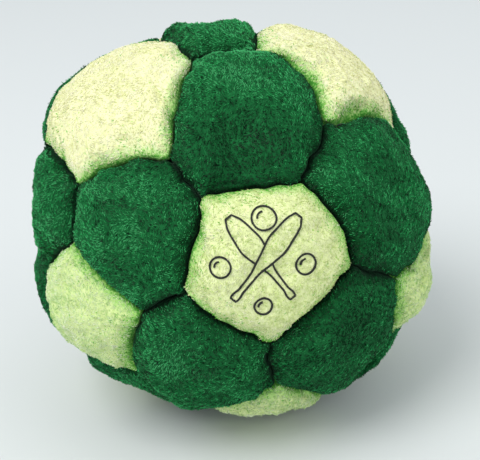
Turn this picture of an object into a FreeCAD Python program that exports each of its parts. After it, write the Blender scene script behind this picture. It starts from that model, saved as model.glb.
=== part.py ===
# A stitched 32-panel juggling ball: 12 five-sided and 20 six-sided panels of soft suede-like cloth,
# joined inside out by thread, turned, filled with plastic pellets and closed.
#
# Frame: millimetres, +Z up. The origin is under the ball's centre, on the face that it rests on.
# Panel frame: origin at the ball's centre, +Z out through the panel's middle, +Y towards the
# middle of one of its sides.
#
# The panels follow an icosahedron standing on a face. Each of its 12 corners is cut off to give a
# five-sided panel, and what is left of its 20 triangles is the six-sided ones. A triangle's side
# is cut at corner_share of its length from each end.

import FreeCAD, Part
import itertools
import math
import os

import Sketcher

Vector = FreeCAD.Vector
Rotation = FreeCAD.Rotation
Placement = FreeCAD.Placement

DIMENSIONS = {
    "ball_radius": 28.0,  # ball's centre to the crown of a panel
    "seam_radius": 26.0,  # ball's centre to a seam's corner, before its edges are rolled
    "corner_share": 0.38,  # share of an icosahedron's edge taken by a five-sided panel's corner
    "base_height": 26.3,  # ball's centre above the face that it rests on
    "cloth_thickness": 1.0,
    "roll_radius": 1.7,  # cloth's bend where it turns into a seam
    "foot_height": 21.4,  # ball's centre to the plane of a panel's turned-in edge
    "needle_radius": 23.9,  # ball's centre to the row of needle holes
    "needle_diameter": 0.4,  # needle holes, and the thread drawn tight through them
    "thread_diameter": 0.5,
    "stitch_pitch": 1.6,
    "blank_reach": 11.5,  # radius of the domed disc that a panel is cut from
    "knot_radius": 0.55,
    "pellet_diameter": 4.4,
    "pellet_length": 4.0,
    "pellet_gap": 0.1,
    "fill_radius": 22.0,  # the pellets lie inside this, clear of the turned-in edges
    "fill_level": 12.0,  # top of the pellets above the ball's centre
}
LONG_STITCHES = 6  # along a seam of a five-sided panel
SHORT_STITCHES = 3  # along a seam between two six-sided panels

GOLDEN = (1 + math.sqrt(5)) / 2
CROWN_RING_HEIGHT = GOLDEN**2 / math.sqrt(3 * GOLDEN * math.sqrt(5))
CROWN_RING_RADIUS = math.sqrt(1 - CROWN_RING_HEIGHT**2)
NEIGHBOUR_DOT = 1 / math.sqrt(5)  # cosine of the angle between neighbouring corners

# Slope of each panel's corners and side middles: distance from the panel's axis per height.
FACE_SLOPE = "(2 / %.12f)" % GOLDEN**2
PENT_CORNER = "(2 * dims.corner_share / (sqrt(5) * (1 - dims.corner_share) + dims.corner_share))"
PENT_SIDE = "(%s * cos(36))" % PENT_CORNER
HEX_CORNER = "(%s * sqrt(1 - 3 * dims.corner_share * (1 - dims.corner_share)))" % FACE_SLOPE
HEX_LONG_SIDE = "(%s * (1 - 1.5 * dims.corner_share))" % FACE_SLOPE
HEX_SHORT_SIDE = "(%s / 2)" % FACE_SLOPE

doc = FreeCAD.newDocument("juggling_ball")


def make_sheet():
    sheet = doc.addObject("Spreadsheet::Sheet", "dims")
    for row, (alias, value) in enumerate(DIMENSIONS.items(), start=1):
        sheet.set("A%d" % row, alias)
        sheet.set("B%d" % row, str(value))
        sheet.setAlias("B%d" % row, alias)
    doc.recompute()
    return sheet


# ---------------------------------------------------------------- icosahedron


def on_sphere(azimuth, ring_radius, height):
    """A unit direction. Azimuth 0 is the ball's front, -Y, and grows towards +X."""
    angle = math.radians(azimuth)
    return Vector(ring_radius * math.sin(angle), -ring_radius * math.cos(angle), height)


def icosahedron_corners():
    belt_radius = GOLDEN * CROWN_RING_RADIUS
    belt_height = CROWN_RING_HEIGHT / GOLDEN**3
    corners = []
    for turn in (0, 120, 240):
        corners.append(on_sphere(turn + 60, CROWN_RING_RADIUS, CROWN_RING_HEIGHT))
        corners.append(on_sphere(turn, belt_radius, belt_height))
        corners.append(on_sphere(turn + 60, belt_radius, -belt_height))
        corners.append(on_sphere(turn, CROWN_RING_RADIUS, -CROWN_RING_HEIGHT))
    return sorted(corners, key=top_down)


def top_down(direction):
    """Sort key: from the ball's top to its bottom, and round it at each height."""
    azimuth = math.degrees(math.atan2(direction.x, -direction.y)) % 360
    return (-round(direction.z, 3), round(azimuth, 1))


def neighbours(a, b):
    return abs(a.dot(b) - NEIGHBOUR_DOT) < 0.01


def icosahedron_edges(corners):
    return [pair for pair in itertools.combinations(corners, 2) if neighbours(*pair)]


def icosahedron_faces(corners):
    triples = itertools.combinations(corners, 3)
    faces = [t for t in triples if all(neighbours(*p) for p in itertools.combinations(t, 2))]
    return sorted(faces, key=lambda face: top_down(middle(face)))


def middle(directions):
    total = Vector()
    for direction in directions:
        total = total + direction
    return total.normalize()


def facing(outward, side):
    """Rotation that takes +Z to outward and +Y as near to side as it can."""
    y_axis = (side - outward * side.dot(outward)).normalize()
    return Rotation(y_axis.cross(outward), y_axis, outward, "ZYX")


def place(feature, rotation):
    """Puts a piece made about the ball's centre into the ball."""
    feature.Placement = Placement(Vector(), rotation)
    feature.setExpression("Placement.Base.z", "dims.base_height")


# ---------------------------------------------------------------- sketch helpers


def origin_feature(body, role):
    return next(f for f in body.Origin.OriginFeatures if f.Role == role)


def new_sketch(body, name, plane, tilt="0", inset=None):
    """A sketch on one of the body's own origin planes, tilted about the ball's centre so that its
    Y axis leans towards the body's +Y by that slope, and then moved in towards the body's axis."""
    sketch = body.newObject("Sketcher::SketchObject", name)
    sketch.AttachmentSupport = [(origin_feature(body, plane), "")]
    sketch.MapMode = "FlatFace"
    hinge = Vector(1, 0, 0) if plane == "XZ_Plane" else Vector(0, 0, 1)
    sketch.AttachmentOffset = Placement(Vector(), Rotation(hinge, 10))
    sketch.setExpression("AttachmentOffset.Rotation.Angle", "-atan(%s)" % tilt)
    if inset:
        inward = -1 if backward(tilt) else 1
        sketch.setExpression("AttachmentOffset.Base.y", "%d * %s * sin(atan(%s))" % (inward, inset, tilt))
        sketch.setExpression("AttachmentOffset.Base.z", "%d * %s * cos(atan(%s))" % (inward, inset, tilt))
    return sketch


def backward(tilt):
    """Whether a side's plane is on the body's -Y side."""
    return tilt.startswith("(0 -")


def size(sketch, constraint, expression):
    index = sketch.addConstraint(constraint)
    sketch.setExpression("Constraints[%d]" % index, expression)


def outline(sketch, points, constraints):
    """A closed outline of straight lines through points, with the constraints that shape it."""
    first = sketch.GeometryCount
    for start, end in zip(points, points[1:] + points[:1]):
        sketch.addGeometry(Part.LineSegment(Vector(*start), Vector(*end)), False)
    count = len(points)
    for i in range(count):
        link = Sketcher.Constraint("Coincident", first + i, 2, first + (i + 1) % count, 1)
        sketch.addConstraint(link)
    for constraint in constraints:
        sketch.addConstraint(Sketcher.Constraint(*constraint))


def circle(sketch, across, up, diameter, across_size, up_size):
    """A circle at (across, up): first guesses, then what sets them."""
    index = sketch.addGeometry(Part.Circle(Vector(across, up, 0), Vector(0, 0, 1), 0.3), False)
    size(sketch, Sketcher.Constraint("Diameter", index, 0.6), diameter)
    size(sketch, Sketcher.Constraint("DistanceY", -1, 1, index, 3, up), up_size)
    if across:
        size(sketch, Sketcher.Constraint("DistanceX", -1, 1, index, 3, across), across_size)
    else:
        sketch.addConstraint(Sketcher.Constraint("PointOnObject", index, 3, -2))


def needle_row(sketch, stitches):
    """A row of needle holes along a seam, in the seam's own plane."""
    for i in range(stitches):
        steps = i - (stitches - 1) / 2
        circle(
            sketch, steps * 1.6, 24, "dims.needle_diameter",
            "dims.stitch_pitch * %.1f" % steps, "dims.needle_radius",
        )


# ---------------------------------------------------------------- panels


class Kind:
    """What sets one kind of panel apart."""

    def __init__(self, corner, sides, repeats):
        self.corner = corner  # slope of its corners
        self.sides = sides  # (tilt of the side's plane, stitches along it)
        self.repeats = repeats  # how often those sides come round


PENT = Kind(PENT_CORNER, [(PENT_SIDE, LONG_STITCHES)], 5)
HEX = Kind(
    HEX_CORNER,
    [(HEX_LONG_SIDE, LONG_STITCHES), ("(0 - %s)" % HEX_SHORT_SIDE, SHORT_STITCHES)],
    3,
)


def dome_radius(kind):
    """The dome passes through the panel's crown and through its corners at seam_radius."""
    drop = "(dims.ball_radius - dims.seam_radius / sqrt(1 + %s ^ 2))" % kind.corner
    rise = "((dims.ball_radius ^ 2 - dims.seam_radius ^ 2) / (2 * %s))" % drop
    return "dims.ball_radius - %s" % rise


def blank(body, kind, flat_height, inset, foot_size):
    """A domed disc, turned about the panel's axis; flat_height trims its crown flat."""
    crown, reach, radius, foot = 28.0, 11.5, 14.5, 21.4
    flat = 25.8 if flat_height else crown
    centre = crown - radius
    low = centre + math.sqrt(radius**2 - reach**2)
    edge = math.sqrt(radius**2 - (flat - centre) ** 2)
    sketch = new_sketch(body, "dome_section", "YZ_Plane")
    arc = Part.Circle(Vector(0, centre, 0), Vector(0, 0, 1), radius)
    start, end = math.atan2(low - centre, reach), math.atan2(flat - centre, edge)
    sketch.addGeometry(Part.ArcOfCircle(arc, start, end), False)
    points = [(edge, flat, 0), (0, flat, 0), (0, foot, 0), (reach, foot, 0), (reach, low, 0)]
    if not flat_height:
        points = points[1:]
    for start, end in zip(points, points[1:]):
        sketch.addGeometry(Part.LineSegment(Vector(*start), Vector(*end)), False)
    lines = len(points) - 1
    axis, foot_line, rim = lines - 2, lines - 1, lines
    for i in range(lines + 1):
        sketch.addConstraint(Sketcher.Constraint("Coincident", i, 2, (i + 1) % (lines + 1), 1))
    sketch.addConstraint(Sketcher.Constraint("PointOnObject", 0, 3, -2))
    sketch.addConstraint(Sketcher.Constraint("PointOnObject", axis, 1, -2))
    sketch.addConstraint(Sketcher.Constraint("Vertical", axis))
    sketch.addConstraint(Sketcher.Constraint("Horizontal", foot_line))
    sketch.addConstraint(Sketcher.Constraint("Vertical", rim))
    size(sketch, Sketcher.Constraint("Radius", 0, radius), "%s - %s" % (dome_radius(kind), inset))
    size(sketch, Sketcher.Constraint("DistanceY", -1, 1, axis, 2, foot), foot_size)
    size(sketch, Sketcher.Constraint("DistanceX", -1, 1, rim, 1, reach), "dims.blank_reach")
    if flat_height:
        sketch.addConstraint(Sketcher.Constraint("Horizontal", 1))
        size(sketch, Sketcher.Constraint("DistanceY", -1, 1, axis, 1, flat), "%s - %s" % (flat_height, inset))
        centre_size = "dims.ball_radius - (%s)" % dome_radius(kind)
        size(sketch, Sketcher.Constraint("DistanceY", -1, 1, 0, 3, centre), centre_size)
    else:
        size(sketch, Sketcher.Constraint("DistanceY", -1, 1, axis, 1, crown), "dims.ball_radius - %s" % inset)
    turned = body.newObject("PartDesign::Revolution", "blank")
    turned.Profile = sketch
    turned.ReferenceAxis = (sketch, ["V_Axis"])
    turned.Angle = 360
    doc.recompute()
    return turned


def repeat(body, kind, name, features):
    """Repeats the features of one long side and one short side round the panel."""
    pattern = body.newObject("PartDesign::PolarPattern", name)
    pattern.Originals = features
    pattern.Axis = (origin_feature(body, "Z_Axis"), [""])
    pattern.Angle = 360
    pattern.Occurrences = kind.repeats
    body.Tip = pattern
    doc.recompute()
    return pattern


def cut_sides(body, kind, inset):
    """Cuts the blank's sides along planes through the ball's centre, where the seams lie."""
    half, low, high = 16.0, 18.0, 31.0
    cuts = []
    for tilt, _ in kind.sides:
        sketch = new_sketch(body, "side_plane", "XZ_Plane", tilt, inset)
        corners = [(-half, low, 0), (half, low, 0), (half, high, 0), (-half, high, 0)]
        outline(
            sketch, corners,
            [("Symmetric", 0, 1, 0, 2, -2), ("Vertical", 1), ("Horizontal", 2), ("Vertical", 3)],
        )
        size(sketch, Sketcher.Constraint("DistanceX", -1, 1, 1, 1, half), "dims.blank_reach * 1.25")
        size(sketch, Sketcher.Constraint("DistanceY", -1, 1, 1, 1, low), "dims.foot_height * 0.8")
        size(sketch, Sketcher.Constraint("DistanceY", -1, 1, 1, 2, high), "dims.ball_radius * 1.1")
        cut = body.newObject("PartDesign::Pocket", "side_cut")
        cut.Profile = sketch
        cut.Reversed = backward(tilt)
        cut.setExpression("Length", "dims.blank_reach")
        doc.recompute()
        cuts.append(cut)
    return repeat(body, kind, "sides", cuts)


def planar(face):
    return isinstance(face.Surface, Part.Plane)


def seam_edges(shape):
    """Names of the edges between the dome and the panel's flat sides."""
    names = []
    for number, edge in enumerate(shape.Edges, start=1):
        faces = shape.ancestorsOfType(edge, Part.Face)
        sides = [f for f in faces if planar(f) and abs(f.normalAt(0, 0).z) < 0.9]
        if len(sides) == 1 and len(faces) == 2 and any(not planar(f) for f in faces):
            names.append("Edge%d" % number)
    return names


def wedge(label, kind, flat_height, inset="0", foot_size="dims.foot_height"):
    """A solid panel: its sides lie in planes through the ball's centre, or inset from them."""
    body = doc.addObject("PartDesign::Body", label)
    blank(body, kind, flat_height, inset, foot_size)
    cut_sides(body, kind, inset)
    return body


def roll_edges(body):
    """Rolls the edges of the dome into the seams."""
    wedge_end = body.Tip
    roll = body.newObject("PartDesign::Fillet", "seam_roll")
    roll.Base = (wedge_end, seam_edges(wedge_end.Shape))
    roll.setExpression("Radius", "dims.roll_radius")
    doc.recompute()


def hollow(body, kind, flat_height):
    """Leaves one thickness of cloth, open at the foot."""
    inside = wedge(body.Label + "_inside", kind, flat_height, "dims.cloth_thickness", "dims.foot_height - 1")
    cut = body.newObject("PartDesign::Boolean", "hollow")
    cut.Type = "Cut"
    cut.Group = [inside]
    doc.recompute()


def needle_holes(body, kind):
    """Needle holes through the turned-in edges, for the seam threads."""
    rows = []
    for tilt, stitches in kind.sides:
        sketch = new_sketch(body, "needle_row", "XZ_Plane", tilt)
        needle_row(sketch, stitches)
        cut = body.newObject("PartDesign::Pocket", "needle_cut")
        cut.Profile = sketch
        cut.Reversed = not backward(tilt)
        cut.setExpression("Length", "dims.cloth_thickness * 1.3")
        doc.recompute()
        rows.append(cut)
    repeat(body, kind, "needle_rows", rows)


def panel(label, kind, rotation, flat_height=None):
    body = wedge(label, kind, flat_height)
    body.Label = label
    roll_edges(body)
    hollow(body, kind, flat_height)
    needle_holes(body, kind)
    place(body, rotation)
    return body


# ---------------------------------------------------------------- seam threads


def thread(label, stitches, tilt="0", copies=1):
    """A saddle-stitched seam: a run of thread on each side of the two turned-in edges, and a
    crossing through each needle hole. Its seam's middle is along +Z, or leans to +Y by tilt."""
    body = doc.addObject("PartDesign::Body", label)
    crossings = new_sketch(body, "crossings", "XZ_Plane", tilt)
    needle_row(crossings, stitches)
    bars = body.newObject("PartDesign::Pad", "bars")
    bars.Profile = crossings
    bars.Midplane = True
    bars.setExpression("Length", "2 * dims.cloth_thickness + dims.thread_diameter")
    runs = new_sketch(body, "runs", "YZ_Plane", tilt)
    for side in (1, -1):
        offset = "%d * (dims.cloth_thickness + dims.thread_diameter / 2)" % side
        circle(runs, side * 1.25, 24, "dims.thread_diameter", offset, "dims.needle_radius")
    rails = body.newObject("PartDesign::Pad", "rails")
    rails.Profile = runs
    rails.Midplane = True
    rails.setExpression("Length", "%d * dims.stitch_pitch + dims.thread_diameter" % (stitches - 1))
    body.Tip = rails
    if copies > 1:
        pattern = body.newObject("PartDesign::PolarPattern", "seams")
        pattern.Originals = [bars, rails]
        pattern.Axis = (origin_feature(body, "Z_Axis"), [""])
        pattern.Angle = 360
        pattern.Occurrences = copies
        body.Tip = pattern
    doc.recompute()
    return body


def seam_frame(edge):
    """Rotation that puts a seam between two six-sided panels across the icosahedron's edge."""
    outward = middle(edge)
    return facing(outward, outward.cross(edge[1] - edge[0]))


def seams_by_turn(edges):
    """The seams between six-sided panels, in groups that a third of a turn carries round."""
    groups = {}
    for edge in sorted(edges, key=lambda pair: top_down(middle(pair))):
        height, azimuth = top_down(middle(edge))
        groups.setdefault((height, round(azimuth % 120)), []).append(edge)
    return list(groups.values())


def thread_group(label, edges):
    """The threads of a few like seams."""
    threads = []
    for number, edge in enumerate(edges, start=1):
        body = thread("%s_seam_%d" % (label, number), SHORT_STITCHES)
        place(body, seam_frame(edge))
        threads.append(body)
    group = doc.addObject("Part::Compound", label)
    group.Label = label
    group.Links = threads
    return group


def closing_thread(label, edge):
    """The last seam's thread, which ends in a knot of two loops drawn up against it."""
    pieces = [thread(label + "_run", SHORT_STITCHES)]
    for number, lean in enumerate((0, 60), start=1):
        loop = doc.addObject("Part::Torus", "%s_loop_%d" % (label, number))
        loop.setExpression("Radius1", "dims.knot_radius")
        loop.setExpression("Radius2", "dims.thread_diameter / 2")
        loop.Placement = Placement(Vector(), Rotation(Vector(0, 0, 1), lean) * Rotation(Vector(0, 1, 0), 90))
        loop.setExpression(
            "Placement.Base.y", "dims.cloth_thickness + dims.knot_radius + dims.thread_diameter / 2"
        )
        loop.setExpression("Placement.Base.z", "dims.needle_radius")
        pieces.append(loop)
    knotted = doc.addObject("Part::MultiFuse", label)
    knotted.Label = label
    knotted.Shapes = pieces
    place(knotted, seam_frame(edge))
    return knotted


# ---------------------------------------------------------------- filling


def pellet_spots(sheet):
    """Middles of close-packed upright pellets, from the bottom of the ball up to fill_level."""
    across = sheet.pellet_diameter + sheet.pellet_gap
    up = sheet.pellet_length + sheet.pellet_gap
    row_step = across * math.sqrt(3) / 2
    reach = sheet.fill_radius
    layers = int(2 * reach / up)
    rows = int(reach / row_step) + 1
    columns = int(reach / across) + 1
    for layer in range(layers + 1):
        height = (layer + 0.5) * up - reach
        for row in range(-rows, rows + 1):
            shift = across / 2 * ((row + layer) % 2)
            for column in range(-columns, columns + 1):
                spot = Vector(column * across + shift, row * row_step, height)
                rim = math.hypot(spot.x, spot.y) + sheet.pellet_diameter / 2
                end = abs(height) + sheet.pellet_length / 2
                if math.hypot(rim, end) < reach and height + sheet.pellet_length / 2 < sheet.fill_level:
                    yield spot


def filling(label, sheet):
    """Loose plastic pellets, each a short rod, settled in the ball with some room above them."""
    radius, length = sheet.pellet_diameter / 2, sheet.pellet_length
    pellets = []
    for spot in pellet_spots(sheet):
        foot = spot - Vector(0, 0, length / 2)
        pellets.append(Part.makeCylinder(radius, length, foot))
    feature = doc.addObject("Part::Feature", label)
    feature.Label = label
    feature.Shape = Part.makeCompound(pellets)
    place(feature, Rotation())
    return feature


# ---------------------------------------------------------------- the ball


def panels(corners, faces):
    made = []
    for number, corner in enumerate(corners, start=1):
        toward = next(other for other in corners if neighbours(corner, other))
        rotation = facing(corner, corner - toward)
        made.append(panel("pent_panel_%02d" % number, PENT, rotation))
        ring = thread("pent_seam_thread_%02d" % number, LONG_STITCHES, PENT_SIDE, 5)
        place(ring, rotation)
        made.append(ring)
    for number, face in enumerate(faces, start=1):
        outward = middle(face)
        resting = outward.z < -0.99
        flat_height = "dims.base_height" if resting else None
        made.append(panel("hex_panel_%02d" % number, HEX, facing(outward, face[0]), flat_height))
    return made


def hex_seam_threads(edges):
    *groups, lowest = seams_by_turn(edges)
    *lowest, closing = sorted(lowest, key=lambda edge: middle(edge).y)
    made = [closing_thread("closing_thread", closing)]
    for number, group in enumerate(groups + [lowest], start=1):
        made.append(thread_group("hex_seam_thread_%02d" % number, group))
    return made


def check(sub_parts):
    """Stops before anything is written if a feature failed or a shape is not sound."""
    for feature in doc.Objects:
        if {"Invalid", "Error"} & set(feature.State):
            raise RuntimeError("%s failed: %s" % (feature.Label, feature.getStatusString()))
    for sub_part in sub_parts:
        shape = sub_part.Shape
        if shape.isNull() or not shape.isValid() or not shape.Solids or shape.Volume <= 0:
            raise RuntimeError("%s has no sound shape" % sub_part.Label)


def main():
    sheet = make_sheet()
    corners = icosahedron_corners()
    sub_parts = panels(corners, icosahedron_faces(corners))
    sub_parts += hex_seam_threads(icosahedron_edges(corners))
    sub_parts.append(filling("filling_pellets", sheet))
    doc.recompute()
    check(sub_parts)
    os.makedirs("parts", exist_ok=True)
    for sub_part in sub_parts:
        sub_part.Shape.exportStep("parts/%s.step" % sub_part.Label)
    print("%d sub-parts" % len(sub_parts))


main()
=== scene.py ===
# Looks of the 32-panel suede juggling ball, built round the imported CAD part.
#
# Lengths in the shape code are millimetres about the ball's centre. to_frame() puts them into the
# row frame in metres. Each panel is a closed shell of soft cloth that stands for its CAD node: it is
# blown up by a cloth simulation, hollow and open at its foot, with its edges turned into the seams.
# Its nap is a piece of its own, made of short fibres.

import itertools
import math

import bpy
import numpy as np
from mathutils import Matrix, Vector
from mathutils.bvhtree import BVHTree


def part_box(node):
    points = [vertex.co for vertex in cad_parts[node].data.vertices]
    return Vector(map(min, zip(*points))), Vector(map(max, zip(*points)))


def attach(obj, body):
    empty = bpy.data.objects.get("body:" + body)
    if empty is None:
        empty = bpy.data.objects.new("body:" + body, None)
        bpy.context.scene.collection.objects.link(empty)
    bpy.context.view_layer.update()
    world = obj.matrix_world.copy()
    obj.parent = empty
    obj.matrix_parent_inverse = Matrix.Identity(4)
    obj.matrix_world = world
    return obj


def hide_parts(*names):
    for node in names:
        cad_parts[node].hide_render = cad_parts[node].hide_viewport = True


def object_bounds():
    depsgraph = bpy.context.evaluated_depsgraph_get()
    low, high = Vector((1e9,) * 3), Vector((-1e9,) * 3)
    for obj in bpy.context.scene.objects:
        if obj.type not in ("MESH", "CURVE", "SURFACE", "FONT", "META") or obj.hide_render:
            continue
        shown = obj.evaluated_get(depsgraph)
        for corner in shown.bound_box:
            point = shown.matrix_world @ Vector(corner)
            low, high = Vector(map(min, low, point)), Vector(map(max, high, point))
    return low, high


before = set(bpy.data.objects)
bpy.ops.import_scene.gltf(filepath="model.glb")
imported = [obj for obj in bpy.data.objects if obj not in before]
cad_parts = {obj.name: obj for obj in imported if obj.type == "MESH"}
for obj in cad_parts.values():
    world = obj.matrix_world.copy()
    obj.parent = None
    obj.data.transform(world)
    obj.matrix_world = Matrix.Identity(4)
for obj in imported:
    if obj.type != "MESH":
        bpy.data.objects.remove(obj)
cad_low, cad_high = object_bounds()

MM_PER_M = 1000
M_PER_MM = 0.001

# ---------------------------------------------------------------- sizes, in mm

BALL_RADIUS = 28.0  # centre to the crown of a panel
SEAM_RADIUS = 25.2  # centre to the bottom of a crease
FOOT_RADIUS = 22.5  # centre to the cut edge of the turned-in cloth
BLOWN_UP = 1.3  # about how far a panel's middle is still to rise when it is blown up
CORNER_SHARE = 0.38  # share of an icosahedron's edge taken by a five-sided panel's corner
CLOTH = 0.95  # its thickness
CLOTH_TAPER = 1.5  # the cloth gets thinner nearer to a seam than this
SEAM_GAP = 0.09  # half the gap between two panels at a seam, or more where the seam is uneven
CENTRE = Vector((0, 0, cad_high.z * MM_PER_M - BALL_RADIUS))

GRID_ROWS = 10  # rows of mesh from a panel's middle to its edge
FLANGE_ROWS = 3  # rows of mesh down its turned-in edge
FINE_LEVELS = 2  # subdivisions of that mesh

CAMERA_AZIMUTH = -10.2
CAMERA_ELEVATION = 23.2
CAMERA_ROLL = 5.1
CAMERA_DISTANCE = 176.0
CAMERA_LENS = 97.0
CAMERA_SENSOR = 36
AIM_RIGHT = 1.8  # the camera looks this far right of the ball's centre, and this far below it
AIM_DOWN = 1.9


# ---------------------------------------------------------------- small helpers

WAVE_COUNT = 28
WAVE_SPREAD = (0.75, 1.4)  # shortest and longest wave, as shares of the wavelength asked for


def unit(v):
    return v / np.linalg.norm(v, axis=-1, keepdims=True)


def to_frame(points):
    """Row-frame metres from millimetres about the ball's centre."""
    return (np.asarray(points) + np.array(CENTRE)) * M_PER_MM


def direction(azimuth, elevation):
    """Azimuth 0 is the ball's front, -Y, and grows towards +X."""
    a, e = math.radians(azimuth), math.radians(elevation)
    return np.array([math.sin(a) * math.cos(e), -math.cos(a) * math.cos(e), math.sin(e)])


def smooth(x, low, high):
    """0 below low, 1 above high, and a smooth step between them."""
    t = np.clip((x - low) / (high - low), 0, 1)
    return t * t * (3 - 2 * t)


def waves(points, wavelength, seed):
    """Smooth noise of about unit size: a sum of plane waves whose directions come from seed."""
    rng = np.random.default_rng(seed)
    headings = unit(rng.normal(size=(WAVE_COUNT, 3)))
    lengths = wavelength * rng.uniform(*WAVE_SPREAD, WAVE_COUNT)
    phases = rng.uniform(0, 2 * math.pi, WAVE_COUNT)
    turns = headings * (2 * math.pi / lengths)[:, None]
    return np.sin(points @ turns.T + phases).sum(1) / math.sqrt(WAVE_COUNT / 2)


def uneven(points, layer, number=0):
    """One layer of noise, given as its height, wavelength and first seed."""
    height, wavelength, seed = layer
    return height * waves(points, wavelength, seed + number)


def falloff(gaps, reach):
    """1 where a gap is nothing, and less and less the longer it is."""
    return np.exp(-(gaps**2).sum(-1) / (2 * reach**2))


def camera_axes():
    """The camera's right, up and backward directions."""
    back = direction(CAMERA_AZIMUTH, CAMERA_ELEVATION)
    right = unit(np.cross([0, 0, 1], back))
    up = np.cross(back, right)
    roll = math.radians(CAMERA_ROLL)
    return (
        right * math.cos(roll) - up * math.sin(roll),
        up * math.cos(roll) + right * math.sin(roll),
        back,
    )


RIGHT, UP, BACK = camera_axes()


# ---------------------------------------------------------------- the 32 panels


def box_axis(node):
    """The direction from the ball's centre to the middle of the node's box."""
    low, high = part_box(node)
    return unit((np.array(low) + np.array(high)) / 2 * MM_PER_M - np.array(CENTRE))


NODE_AXES = {name: box_axis(name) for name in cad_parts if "panel" in name}


class Panel:
    """One panel's directions from the ball's centre: its axis, its corners counterclockwise as seen
    from outside, and the inward normals of the seam planes between them."""

    def __init__(self, kind, axis, corners):
        self.kind = kind
        self.axis = axis
        upright = abs(axis[2]) > 0.99
        self.side = np.array([1.0, 0, 0]) if upright else unit(np.cross([0, 0, 1], axis))
        self.rise = np.cross(axis, self.side)
        angles = [math.atan2(c @ self.rise, c @ self.side) for c in corners]
        self.corners = np.array([corners[i] for i in np.argsort(angles)])
        following = np.roll(self.corners, -1, axis=0)
        self.middles = unit(self.corners + following)
        self.walls = unit(np.cross(self.corners, following))
        self.node = nearest_node(kind + "_panel_", axis)
        self.number = int(self.node[-2:])

    def depths(self, points):
        """How far each point is inside each seam plane."""
        return points @ self.walls.T

    def keep_inside(self, points, gap, rounds=4):
        """Moves points that are closer than gap to a seam plane, or past it, back inside."""
        for _ in range(rounds):
            for wall in self.walls:
                short = np.clip(gap - points @ wall, 0, None)
                points = points + short[:, None] * wall
        return points


def nearest_node(prefix, axis):
    """The CAD node of a kind whose panel lies nearest to the axis."""
    names = [n for n in NODE_AXES if n.startswith(prefix)]
    return max(names, key=lambda n: NODE_AXES[n] @ axis)


def icosahedron_corners():
    """The 12 directions of the five-sided panels, for a ball that stands on a six-sided one."""
    golden = (1 + math.sqrt(5)) / 2
    crown = math.asin(golden**2 / math.sqrt(3 * golden * math.sqrt(5)))
    belt = math.asin(math.sin(crown) / golden**3)
    crown, belt = math.degrees(crown), math.degrees(belt)
    rings = [(60, crown), (0, belt), (60, -belt), (0, -crown)]
    return [direction(turn + start, up) for start, up in rings for turn in (0, 120, 240)]


def neighbours(a, b):
    """Whether two corners of the icosahedron share an edge."""
    return abs(a @ b - 1 / math.sqrt(5)) < 0.01


def seam_corner(a, b):
    """The five-sided panel's corner on the icosahedron's edge from a to b, nearer to a."""
    return unit((1 - CORNER_SHARE) * a + CORNER_SHARE * b)


def make_panels():
    corners = icosahedron_corners()
    found = []
    for a in corners:
        found.append(Panel("pent", a, [seam_corner(a, b) for b in corners if neighbours(a, b)]))
    for trio in itertools.combinations(corners, 3):
        pairs = list(itertools.permutations(trio, 2))
        if all(neighbours(a, b) for a, b in pairs):
            found.append(Panel("hex", unit(sum(trio)), [seam_corner(a, b) for a, b in pairs]))
    return sorted(found, key=lambda p: p.node)


# ---------------------------------------------------------------- panel shape

PILLOW_REACH = 9.0  # from a panel's middle to its edge, about, and how far it rises over that
PILLOW_RISE = 3.3
SECTION_POWER = 2.5  # of a panel's section, from 2 for round to more for flat with steep edges
EDGE_STEEPNESS = 1.6  # how soon a dome reaches its height: 1 is only at its middle
CORNER_SHARPNESS = 7  # of a dome over the panel's corners

SIM_FRAMES = 20
SIM_PER_MM = 0.1  # the cloth is simulated at a larger size, for the solver's sake
MM_PER_SIM = 10
SIM_LIMIT = 1.6  # in mm, the furthest that a point may move


def row_spacing():
    """Where a panel's rows lie, from its middle, 0, to its edge, 1, so that they are evenly spaced
    over its pillow-like section."""
    theta = np.linspace(0, math.pi / 2, 400)
    across, up = np.sin(theta) ** (2 / SECTION_POWER), np.cos(theta) ** (2 / SECTION_POWER)
    steps = np.hypot(PILLOW_REACH * np.diff(across), PILLOW_RISE * np.diff(up))
    travelled = np.concatenate([[0], np.cumsum(steps)])
    return np.interp(np.linspace(0, travelled[-1], GRID_ROWS + 1), travelled, across)


def ring_index(j, k, u, v, sides):
    """Number of the grid point at (u, v) of a panel's k-th sector, on ring j."""
    if j == 0:
        return 0
    local = v if u == j else 2 * j - u
    start = 1 + sides * j * (j - 1)
    return start + (k * 2 * j + local) % (2 * j * sides)


def dome_points(panel):
    """The panel's face before it is blown up, as a grid that runs out from its middle, with a sector
    for each corner."""
    sides = len(panel.corners)
    rows = row_spacing()
    points = np.zeros((1 + sides * GRID_ROWS * (GRID_ROWS + 1), 3))
    points[0] = panel.axis
    for k in range(sides):
        before, corner, after = panel.middles[k - 1], panel.corners[k], panel.middles[k]
        for u in range(GRID_ROWS + 1):
            for v in range(GRID_ROWS + 1):
                j = max(u, v)
                if j:
                    a, b = u / j * rows[j], v / j * rows[j]
                    spot = panel.axis * (1 - a) * (1 - b) + before * a * (1 - b)
                    spot = spot + corner * a * b + after * (1 - a) * b
                    points[ring_index(j, k, u, v, sides)] = spot
    points = unit(points)
    depth = panel.depths(points) / panel.depths(panel.axis)
    rounded = -np.log(np.exp(-CORNER_SHARPNESS * depth).mean(1)) / CORNER_SHARPNESS
    share = np.clip(np.minimum(depth.min(1) * EDGE_STEEPNESS, rounded), 0, 1)
    height = (1 - (1 - share) ** SECTION_POWER) ** (1 / SECTION_POWER)
    crown = BALL_RADIUS - BLOWN_UP - SEAM_RADIUS
    return points * (SEAM_RADIUS + crown * height)[:, None]


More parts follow.
